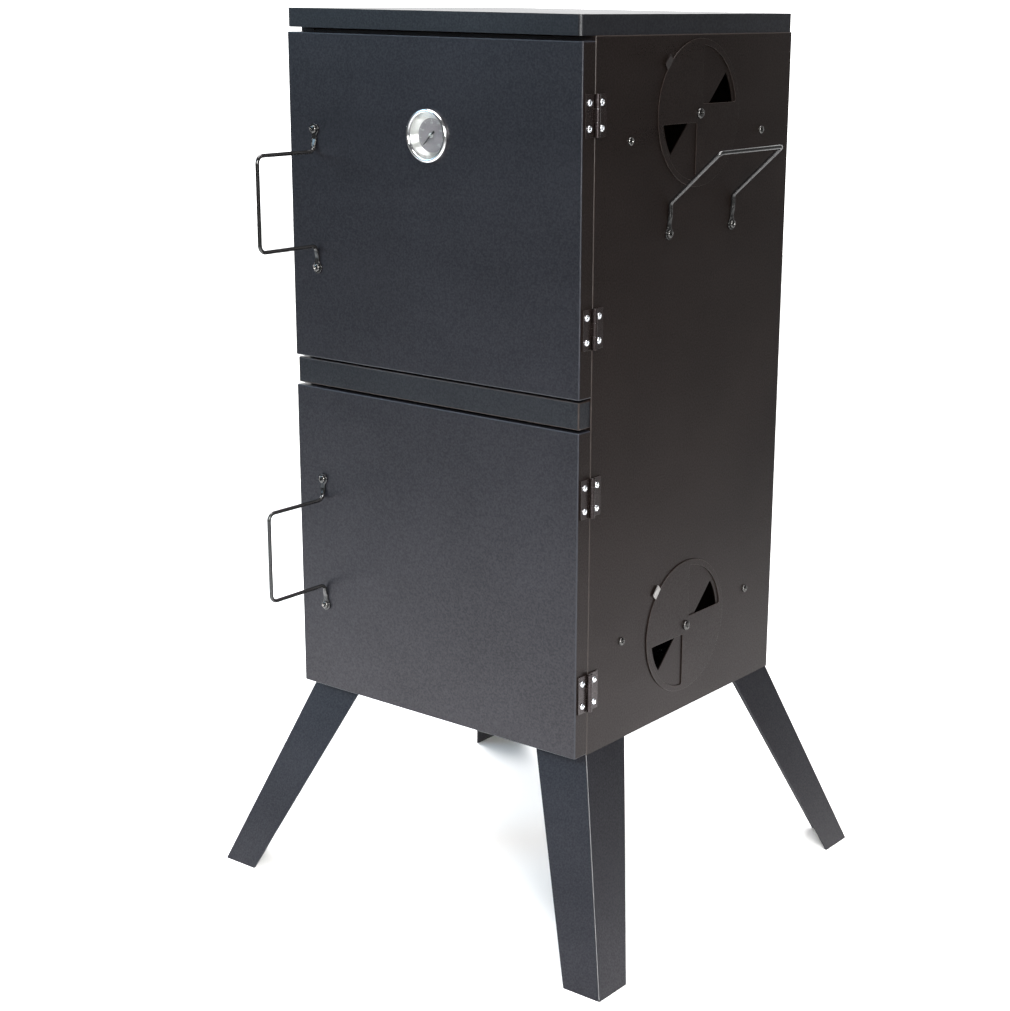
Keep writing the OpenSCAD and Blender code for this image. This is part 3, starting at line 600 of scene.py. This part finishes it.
def legs():
    for node in ("leg_front_right", "leg_front_left", "leg_rear_right", "leg_rear_left"):
        leg(node)


# ---- handles -----------------------------------------------------------------------

DOOR_ARM = 51 * MM         # from a door handle's middle to each arm
CARRY_RISE = 55 * MM       # how far a carrying handle's arms rise
FLAT_LENGTH = 17 * MM      # from a wire's end to where its flat part starts to bend out
RUN_START = 24 * MM        # from a wire's end to where its centre is a radius off the sheet
FLAT_BEND = 12 * MM


def wire_handle(node, corners, mirror, bends, width_axis):
    """A handle that is the same at both ends; corners run from one end to its middle."""
    corners = [Vector(c) for c in corners]
    bends = [FLAT_BEND, FLAT_BEND, *bends]
    path = fillet(corners + [mirror(p) for p in reversed(corners)], bends + bends[::-1])
    bm = bmesh.new()
    bent_wire(bm, resample(path, WIRE_SPACING), width_axis)
    publish(bm, node)


def door_handle(node, face_y):
    lo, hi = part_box(node)
    x, middle = (lo.x + hi.x) / 2, (lo.z + hi.z) / 2
    tab_y, wire_y, reach = face_y - TAB_HALF, face_y - WIRE_R, lo.y + WIRE_R
    corners = ((x, tab_y, hi.z), (x, tab_y, hi.z - FLAT_LENGTH), (x, wire_y, hi.z - RUN_START),
               (x, wire_y, middle + DOOR_ARM), (x, reach, middle + DOOR_ARM))
    wire_handle(node, corners, lambda p: Vector((p.x, p.y, 2 * middle - p.z)),
                (6.5 * MM, 8 * MM), (1, 0, 0))


def carry_handle(node):
    lo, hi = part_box(node)
    out = math.copysign(1, lo.x + hi.x)
    tab_x, wire_x = (HALF_W + TAB_HALF) * out, (HALF_W + WIRE_R) * out
    reach = (hi.x if out > 0 else lo.x) - WIRE_R * out
    y0, y1 = lo.y + EYE_R + 0.1 * MM, hi.y - EYE_R - 0.1 * MM
    bar_z = hi.z - WIRE_R
    corners = ((tab_x, y0, lo.z), (tab_x, y0, lo.z + FLAT_LENGTH), (wire_x, y0, lo.z + RUN_START),
               (wire_x, y0, bar_z - CARRY_RISE), (reach, y0, bar_z))
    wire_handle(node, corners, lambda p: Vector((p.x, y0 + y1 - p.y, p.z)),
                (7 * MM, 5 * MM), (0, 1, 0))


# ---- bolts, screws and hinges --------------------------------------------------------

def bolts(node, axis, grip, r=BOLT_R, head=BOLT_HEAD, nut_h=NUT_H):
    """Replaces every bolt of a node; axis is the way the heads of those on the right face."""
    bm = bmesh.new()
    for k, (lo, hi) in enumerate(solids_of(node)):
        outer = (lo + hi) / 2
        a = Vector(axis)
        if a.x and outer.x < 0:
            a = -a
        for i in range(3):
            if a[i]:
                outer[i] = (hi[i] if a[i] > 0 else lo[i]) - head[1] * a[i]
        place = spun(looking(outer, a, (0, 0, 1) if not a.z else (1, 0, 0)), 0.35 + 1.1 * k)
        through_bolt(bm, place, grip, r, head, nut_h)
    publish(bm, node)


def hinge_screws(node):
    head_r, head_h = 3.4 * MM, 2.2 * MM
    bm = bmesh.new()
    for k, (lo, hi) in enumerate(solids_of(node)):
        middle = (lo + hi) / 2
        place = spun(looking((hi.x - head_h, middle.y, middle.z), (1, 0, 0)), 0.5 + 1.7 * k)
        cross_head(bm, place, head_r, head_h, (2.1 * MM, 1.0 * MM, 1.3 * MM))
        shank(bm, place, 1.9 * MM, 7 * MM, 0.7 * MM)
    publish(bm, node)


def fasteners():
    bolts("upper_door_handle_bolts", (0, -1, 0), 3.4 * MM)
    bolts("lower_door_handle_bolts", (0, -1, 0), 3.4 * MM)
    bolts("carry_handle_bolts", (1, 0, 0), 3.4 * MM)
    bolts("rack_bolts", (1, 0, 0), 3.2 * MM)
    bolts("leg_bolts", (0, 0, -1), 3.4 * MM, head=(4.4 * MM, 2.6 * MM))
    bolts("damper_pivot_bolts", (1, 0, 0), 3.0 * MM, 3.0 * MM, (5.6 * MM, 3.2 * MM), 4.5 * MM)
    for node in ("cabinet_hinge_screws", "upper_door_hinge_screws", "lower_door_hinge_screws"):
        hinge_screws(node)


def hinges():
    for node in ("cabinet_hinge_leaves", "upper_door_hinge_leaves", "lower_door_hinge_leaves"):
        rounded(node, 0.25 * MM)
    rounded("hinge_pins", 0.3 * MM)


# ---- dampers -------------------------------------------------------------------------

DISC_R = 76.5 * MM
DISC_T = 1.2 * MM
DISC_BORE_R = 3.05 * MM
WINDOW_R = 70 * MM
WINDOW_BAR = (5 * MM, 9.5 * MM)      # from the disc's centre lines to a window's straight edges
WINDOW_CORNER = 2.5 * MM
TAB_TURN = math.radians(48)          # from straight up towards the front


def window_outline():
    """Quarter window with round corners, anticlockwise, in the disc's plane."""
    bar_x, bar_y = WINDOW_BAR
    inner = WINDOW_R - WINDOW_CORNER
    low_turn = math.asin((bar_y + WINDOW_CORNER) / inner)
    high_turn = math.acos((bar_x + WINDOW_CORNER) / inner)
    low = (inner * math.cos(low_turn), inner * math.sin(low_turn))
    high = (inner * math.cos(high_turn), inner * math.sin(high_turn))
    pts = arc(*low, WINDOW_CORNER, -math.pi / 2, low_turn, 8)
    pts += arc(0, 0, WINDOW_R, low_turn, high_turn, 40)[1:-1]
    pts += arc(*high, WINDOW_CORNER, high_turn, math.pi, 8)
    pts += arc(bar_x + WINDOW_CORNER, bar_y + WINDOW_CORNER, WINDOW_CORNER, math.pi, 1.5 * math.pi, 6)
    return pts


def tab_blade(bm, place, material):
    """Thumb tab turned up from a disc's rim; +Z of its frame runs outwards along the radius."""
    half, root, length, corner, bevel = 6.9 * MM, 75.2 * MM, 9.6 * MM, 1.4 * MM, 0.25 * MM
    lean = math.radians(9)
    outline = [(-half, 0), (half, 0)]
    outline += arc(half - corner, length - corner, corner, 0, math.pi / 2, 5)
    outline += arc(-half + corner, length - corner, corner, math.pi / 2, math.pi, 5)
    rings = []
    for depth, inset in ((0, bevel), (bevel, 0), (DISC_T - bevel, 0), (DISC_T, bevel)):
        k = 1 - inset / half
        rings.append([bm.verts.new(place @ Vector((z * k * math.sin(lean) + depth * math.cos(lean), y * k,
                                                   root + z * k * math.cos(lean) - depth * math.sin(lean))))
                      for y, z in outline])
    ring_faces(bm, rings, material, capped=True)


def damper(node, tab):
    """Disc with a bore, two windows and a thumb tab, which has the material named tab."""
    x0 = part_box(node)[0].x
    pin = next(j["pos_m"] for j in frame["joints"] if j["child"] == BODY_OF[node])
    window = window_outline()
    bm = bmesh.new()
    for loop in (circle(DISC_R, 180), circle(DISC_BORE_R, 40), window, [(-u, -v) for u, v in window]):
        vs = [bm.verts.new((x0, pin[1] + u, pin[2] + v)) for u, v in loop]
        for a, b in zip(vs, vs[1:] + vs[:1]):
            bm.edges.new((a, b))
    bmesh.ops.triangle_fill(bm, edges=bm.edges, use_beauty=True)
    bmesh.ops.dissolve_limit(bm, angle_limit=0.01, verts=bm.verts, edges=bm.edges)
    top = bmesh.ops.extrude_face_region(bm, geom=bm.faces[:])
    bmesh.ops.translate(bm, vec=(DISC_T, 0, 0),
                        verts=[v for v in top["geom"] if isinstance(v, bmesh.types.BMVert)])
    bmesh.ops.recalc_face_normals(bm, faces=bm.faces)
    round_edges(bm, sharp_edges(bm, 60), 0.3 * MM, 2)
    place = Matrix.Translation((x0, pin[1], pin[2])) @ Matrix.Rotation(TAB_TURN, 4, "X")
    tab_blade(bm, place, 2)
    publish(bm, node, [MAT["damper_paint"], WORN_HIGHLIT_EDGE["damper_paint"], MAT[tab]])


# ---- thermometer ---------------------------------------------------------------------

FACE = -6.5             # height of the dial's face in the profiles below, in mm from the door
SWEEP, ZERO = 270.0, 225.0
TICKS, TICKS_PER_MARK = 40, 5
FIGURES = (50, 100, 150, 200, 250)


def mm(points):
    return [(r * MM, z * MM) for r, z in points]


def scale_turn(part):
    """The angle of a place on the scale, from 0 at its start to 1 at its end."""
    return math.radians(ZERO - SWEEP * part)


def text_mesh(text, size, height):
    curve = bpy.data.curves.new("figure", "FONT")
    curve.body = text
    curve.size = size
    curve.extrude = height
    curve.align_x = "CENTER"
    curve.align_y = "CENTER"
    curve.resolution_u = 2
    obj = bpy.data.objects.new("figure", curve)
    bpy.context.scene.collection.objects.link(obj)
    bpy.context.view_layer.update()
    mesh = bpy.data.meshes.new_from_object(obj.evaluated_get(bpy.context.evaluated_depsgraph_get()))
    bpy.data.objects.remove(obj)
    return mesh


def bezel(place):
    """Rolled rim and the cup behind it in bright steel, and the duller cone down to the face."""
    rim_and_cup = [(23.4, 0.6), (23.4, 2.2), (23.45, 2.9), (23.8, 3.55), (24.4, 3.9), (25.2, 4.0),
                   (26.1, 3.85), (27.0, 3.3), (27.6, 2.4), (27.8, 1.4), (27.75, 0.5), (27.4, 0.0),
                   (24.5, 0.0), (24.2, -0.2), (24.2, -8.0), (24.1, -8.6), (23.6, -9.0), (3.2, -9.0),
                   (3.2, -8.4), (3.3, -8.2), (23.0, -8.2), (23.4, -7.6), (23.4, FACE - 0.65)]
    cone = [(23.4, FACE - 0.65), (23.4, FACE + 0.12), (17.2, FACE + 0.12), (17.1, FACE + 0.25),
            (17.3, FACE + 0.5), (23.25, 0.5), (23.4, 0.6)]
    bm = bmesh.new()
    lathe(bm, mm(rim_and_cup), place, 128)
    lathe(bm, mm(cone), place, 128, 1)
    bmesh.ops.remove_doubles(bm, verts=bm.verts, dist=0.001 * MM)
    publish(bm, "thermometer_bezel", [MAT["bezel_steel"], MAT["cup_steel"]])


def dial(place):
    """The face with its raised rings, printed ticks and figures."""
    bm = bmesh.new()
    face = [(1.6, FACE), (4.2, FACE), (4.35, FACE + 0.12), (4.8, FACE + 0.12), (4.95, FACE),
            (10.6, FACE), (10.75, FACE + 0.1), (11.1, FACE + 0.1), (11.25, FACE), (17.0, FACE),
            (23.25, FACE), (23.3, FACE - 0.3), (23.0, FACE - 0.6), (1.6, FACE - 0.6)]
    lathe(bm, mm(face + face[:1]), place, 128)
    for k in range(TICKS + 1):
        inner, half = (13.9, 0.24) if k % TICKS_PER_MARK == 0 else (15.1, 0.12)
        tick = mm([(inner, -half), (16.2, -half), (16.2, half), (inner, half)])
        turned = spun(place, scale_turn(k / TICKS))
        low, high = (ring_at(bm, turned, tick, (FACE + h) * MM) for h in (0.005, 0.05))
        ring_faces(bm, [low, high], 1, capped=True)
    for k, figure in enumerate(FIGURES):
        a = scale_turn(k / (len(FIGURES) - 1))
        mesh = text_mesh(str(figure), 2.5 * MM, 0.02 * MM)
        mesh.polygons.foreach_set("material_index", [1] * len(mesh.polygons))
        where = (12.4 * MM * math.cos(a), 12.4 * MM * math.sin(a), (FACE + 0.03) * MM)
        mesh.transform(place @ Matrix.Translation(where))
        bm.from_mesh(mesh)
    publish(bm, "thermometer_dial", [MAT["dial_face"], MAT["dial_print"]])


def window_glass(place):
    """Domed glass held under the rim."""
    rim, rise, top, thick, lowest, steps = 23.2, 1.4, 2.35, 1.4, 0.85, 24
    sphere = (rim ** 2 + rise ** 2) / (2 * rise)
    radii = [rim * i / steps for i in range(steps + 1)]
    dome = [(r, top - sphere + math.sqrt(sphere ** 2 - r ** 2)) for r in radii]
    back = [(r, max(z - thick, lowest)) for r, z in reversed(dome)]
    bm = bmesh.new()
    lathe(bm, mm(dome + back), place)
    publish(bm, "thermometer_glass", [MAT["dial_glass"]])


def needle(place):
    """Flat tapered needle on its hub, at the start of the scale."""
    hub = [(1.06, -6.1), (2.5, -6.1), (2.6, -5.9), (2.6, -5.15), (2.3, -4.95), (1.06, -4.95)]
    back, thickness = -5.3, 0.45
    bm = bmesh.new()
    lathe(bm, mm(hub + hub[:1]), place, 48, 1)
    turned = spun(place, scale_turn(0))
    rings = []
    for x, w in ((-6.0, 1.0), (-5.6, 1.1), (0.0, 0.85), (7.0, 0.6), (13.4, 0.42), (14.5, 0.1)):
        rings.append([bm.verts.new(turned @ Vector((x * MM, s * w * MM, (back + h) * MM)))
                      for s, h in ((-1, 0), (1, 0), (0.6, thickness), (-0.6, thickness))])
    ring_faces(bm, rings, capped=True)
    publish(bm, "thermometer_pointer", [MAT["pointer_paint"], MAT["cup_steel"]])


def stem(place, face_y):
    """Spindle, collar and stem with its rounded tip."""
    tip = (face_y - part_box("thermometer_stem")[1].y) / MM
    profile = [(0, -4.55), (0.8, -4.55), (1.0, -4.75), (1.0, -9.0), (5.7, -9.0), (6.0, -9.3),
               (6.0, -12.7), (5.7, -13.0), (3.0, -13.0), (3.0, tip + 3.0), (2.77, tip + 1.85),
               (2.12, tip + 0.88), (1.15, tip + 0.23), (0, tip)]
    bm = bmesh.new()
    lathe(bm, mm(profile), place, 48)
    publish(bm, "thermometer_stem")


def thermometer(face_y):
    """All its profiles are (radius, height) in mm, with the height out from the door's face."""
    lo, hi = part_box("thermometer_bezel")
    place = looking(((lo.x + hi.x) / 2, face_y, (lo.z + hi.z) / 2), (0, -1, 0), (1, 0, 0))
    bezel(place)
    dial(place)
    window_glass(place)
    needle(place)
    stem(place, face_y)


# ---- inside --------------------------------------------------------------------------

def inside():
    for node in ("grate_upper", "grate_middle", "grate_lower", "heating_element"):
        publish(cad_copy(node), node)


door_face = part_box("upper_door_panel")[0].y
sheet_parts()
legs()
door_handle("upper_door_handle", door_face)
door_handle("lower_door_handle", door_face)
carry_handle("carry_handle_right")
carry_handle("carry_handle_left")
fasteners()
hinges()
damper("upper_damper", "damper_paint")
# The lower tab gets pale bare steel as a painted highlight; the upper tab keeps the disc's paint.
damper("lower_damper", "tab_steel_painted_highlight")
thermometer(door_face)
inside()


# ---- stage, light and camera ---------------------------------------------------------

def floor():
    """White paper, far wider than the view."""
    bm = bmesh.new()
    bmesh.ops.create_grid(bm, x_segments=40, y_segments=40, size=5.0)
    mesh = bpy.data.meshes.new("floor")
    bm.to_mesh(mesh)
    bm.free()
    g = Graph("floor_paper")
    g.set(Roughness=0.85, Specular_IOR_Level=0.15)
    paper = g.ramp(g.noise(2.0, 3.0), [(0.3, (0.90, 0.90, 0.90)), (0.7, (0.93, 0.93, 0.93))])
    mesh.materials.append(g.finish(paper))
    obj = bpy.data.objects.new("floor", mesh)
    bpy.context.scene.collection.objects.link(obj)


def area(name, place, target, size, power, color, spread):
    """Rectangular light; power is in watts and spread in degrees."""
    light = bpy.data.lights.new(name, "AREA")
    light.shape = "RECTANGLE"
    light.size, light.size_y = size
    light.energy = power
    light.color = color
    light.spread = math.radians(spread)
    obj = bpy.data.objects.new(name, light)
    obj.location = place
    obj.rotation_euler = (Vector(target) - Vector(place)).to_track_quat("-Z", "Y").to_euler()
    bpy.context.scene.collection.objects.link(obj)


def sky(back):
    """Studio surround, bright in the direction back and dim away from it."""
    world = bpy.data.worlds.new("studio")
    world.use_nodes = True
    bpy.context.scene.world = world
    nodes, links = world.node_tree.nodes, world.node_tree.links
    coords = nodes.new("ShaderNodeTexCoord")
    dot = nodes.new("ShaderNodeVectorMath")
    dot.operation = "DOT_PRODUCT"
    dot.inputs[1].default_value = back
    links.new(coords.outputs["Generated"], dot.inputs[0])
    ramp = nodes.new("ShaderNodeMapRange")
    ramp.interpolation_type = "SMOOTHSTEP"
    for key, v in (("From Min", 0.5), ("From Max", 0.86), ("To Min", 0.12), ("To Max", 2.2)):
        ramp.inputs[key].default_value = v
    links.new(dot.outputs["Value"], ramp.inputs["Value"])
    links.new(ramp.outputs["Result"], nodes["Background"].inputs["Strength"])
    nodes["Background"].inputs["Color"].default_value = (1.0, 1.0, 1.0, 1.0)


def camera():
    """The photograph's viewpoint: to the right of the front, a little above the cap, looking down."""
    azimuth, pitch, roll = (math.radians(v) for v in (36.574, 15.723, 0.774))
    forward = Vector((-math.sin(azimuth) * math.cos(pitch), math.cos(azimuth) * math.cos(pitch),
                      -math.sin(pitch)))
    level = Vector((math.cos(azimuth), math.sin(azimuth), 0))
    upright = level.cross(forward)
    right = level * math.cos(roll) + upright * math.sin(roll)
    up = upright * math.cos(roll) - level * math.sin(roll)
    data = bpy.data.cameras.new("camera")
    data.sensor_width = 36.0
    data.lens = 68.54
    data.shift_x = -0.0825
    data.shift_y = 0.0253
    data.clip_end = 200.0
    obj = bpy.data.objects.new("camera", data)
    m = Matrix((right, up, -forward)).transposed().to_4x4()
    m.translation = Vector((1.3461, -1.7112, 1.0231))
    obj.matrix_world = m
    bpy.context.scene.collection.objects.link(obj)
    bpy.context.scene.camera = obj


floor()
sky((-0.6, 0.8, 0.0))
area("overhead", (-0.15, -0.2, 2.3), (-0.15, -0.2, 0.0), (1.8, 1.8), 26.0, (1.0, 0.98, 0.99), 85)
area("back", (-3.1, 2.9, 3.0), (-3.1, 2.9, 0.0), (5.4, 5.4), 150.0, (1.0, 1.0, 1.0), 80)
area("front_left", (-2.3, -2.5, 1.9), (-0.6, -0.9, 0.0), (1.4, 1.8), 15.0, (0.55, 0.80, 1.0), 90)
area("camera_side", (2.3, -2.3, 1.5), (-0.1, 0.0, 0.0), (2.0, 1.4), 40.0, (1.0, 0.99, 0.97), 60)
area("left", (-2.6, 0.5, 0.8), (0.0, 0.1, 0.0), (1.4, 0.9), 12.0, (1.0, 1.0, 1.0), 70)
camera()
bpy.context.scene.view_settings.view_transform = "Standard"
